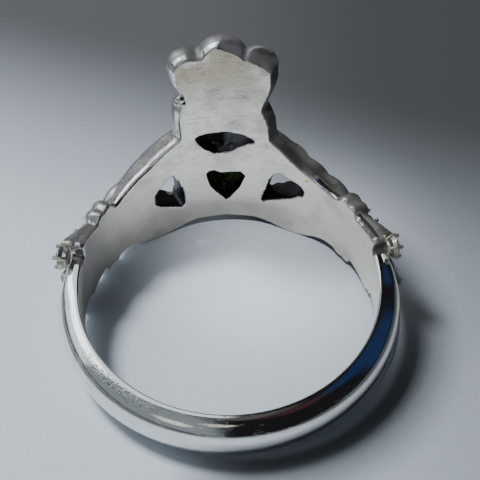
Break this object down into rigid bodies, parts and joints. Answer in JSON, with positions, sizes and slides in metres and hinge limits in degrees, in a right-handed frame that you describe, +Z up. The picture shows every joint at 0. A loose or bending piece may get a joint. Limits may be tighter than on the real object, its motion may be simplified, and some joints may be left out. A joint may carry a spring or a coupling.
{
  "type": "moldavite ring",
  "caption": "Cast silver ring with two hands holding a crowned heart, set with a faceted green stone, with a pierced back and a half-round shank.",
  "frame": {"origin": "on the floor under the middle of the ring's box, as it lies on its side", "axes": "+Y towards the head, +Z up, close to the finger's axis, +X to the right seen from the shank"},
  "size_m": [0.0204, 0.0218, 0.0154],
  "materials": {
    "silver": "polished outside, satin inside",
    "moldavite": "faceted dark olive green glass",
    "clear_stone": "faceted clear stone"
  },
  "bodies": {
    "root": {"ring": "silver", "heart_stone": "moldavite", "cuff_stone_left_1": "clear_stone", "cuff_stone_left_2": "clear_stone", "cuff_stone_left_3": "clear_stone", "cuff_stone_right_1": "clear_stone", "cuff_stone_right_2": "clear_stone", "cuff_stone_right_3": "clear_stone", "wrist_stone_left_1": "clear_stone", "wrist_stone_left_2": "clear_stone", "wrist_stone_left_3": "clear_stone", "wrist_stone_right_1": "clear_stone", "wrist_stone_right_2": "clear_stone", "wrist_stone_right_3": "clear_stone"}
  },
  "joints": []
}
